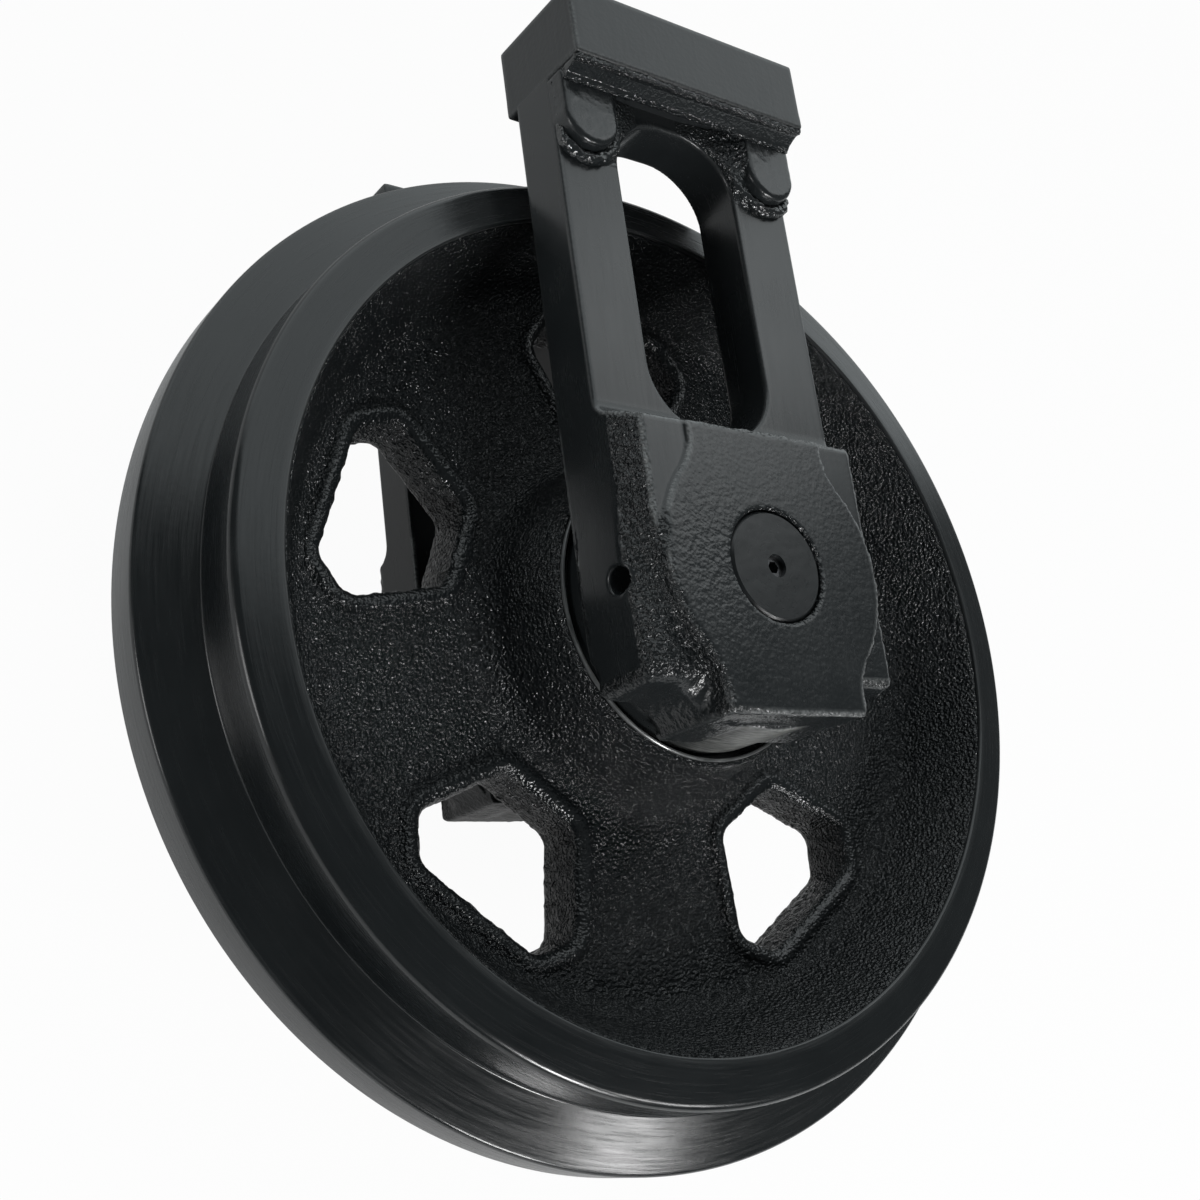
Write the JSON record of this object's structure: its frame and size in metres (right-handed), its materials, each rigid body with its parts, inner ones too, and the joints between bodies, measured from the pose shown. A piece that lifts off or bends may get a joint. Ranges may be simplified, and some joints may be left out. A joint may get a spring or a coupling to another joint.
{
  "type": "front idler",
  "caption": "Flanged cast idler wheel on a fixed axle between arm brackets with welded head bars, for guiding and tensioning an excavator's track chain.",
  "frame": {"origin": "centre of the wheel, on the axle's axis", "axes": "+Z along the axle towards the near bracket and up as it lies, +Y along the arms towards the head bars, +X across the bracket"},
  "size_m": [0.478, 0.509, 0.23],
  "materials": {
    "wheel_paint": "black paint on a sand-cast web and turned treads",
    "bracket_paint": "semi-gloss black paint on milled and cast steel",
    "weld_paint": "glossy black paint on rippled weld bead",
    "shaft_steel": "turned steel, painted black on its ends",
    "plug_steel": "dark zinc-plated steel",
    "pin_steel": "dark hardened steel",
    "bush_bronze": "turned bronze",
    "seal_steel": "lapped alloy cast iron",
    "seal_rubber": "matte black nitrile rubber"
  },
  "bodies": {
    "carrier": {"axle_shaft": "shaft_steel", "oil_plug": "plug_steel", "near_bracket": "bracket_paint", "far_bracket": "bracket_paint", "near_head_bar": "bracket_paint", "far_head_bar": "bracket_paint", "near_lugs": "bracket_paint", "far_lugs": "bracket_paint", "near_head_weld": "weld_paint", "far_head_weld": "weld_paint", "near_lug_welds": "weld_paint", "far_lug_welds": "weld_paint", "near_lock_pin": "pin_steel", "far_lock_pin": "pin_steel", "near_fixed_seal_ring": "seal_steel", "far_fixed_seal_ring": "seal_steel", "near_fixed_toric_ring": "seal_rubber", "far_fixed_toric_ring": "seal_rubber", "near_shaft_oring": "seal_rubber", "far_shaft_oring": "seal_rubber"},
    "wheel": {"idler_wheel": "wheel_paint", "near_bush": "bush_bronze", "far_bush": "bush_bronze", "near_rotating_seal_ring": "seal_steel", "far_rotating_seal_ring": "seal_steel", "near_rotating_toric_ring": "seal_rubber", "far_rotating_toric_ring": "seal_rubber"}
  },
  "joints": [
    {"name": "wheel_spin", "type": "hinge", "parent": "carrier", "child": "wheel", "pos_m": [0, 0, 0], "axis": [0, 0, 1], "continuous": true}
  ]
}
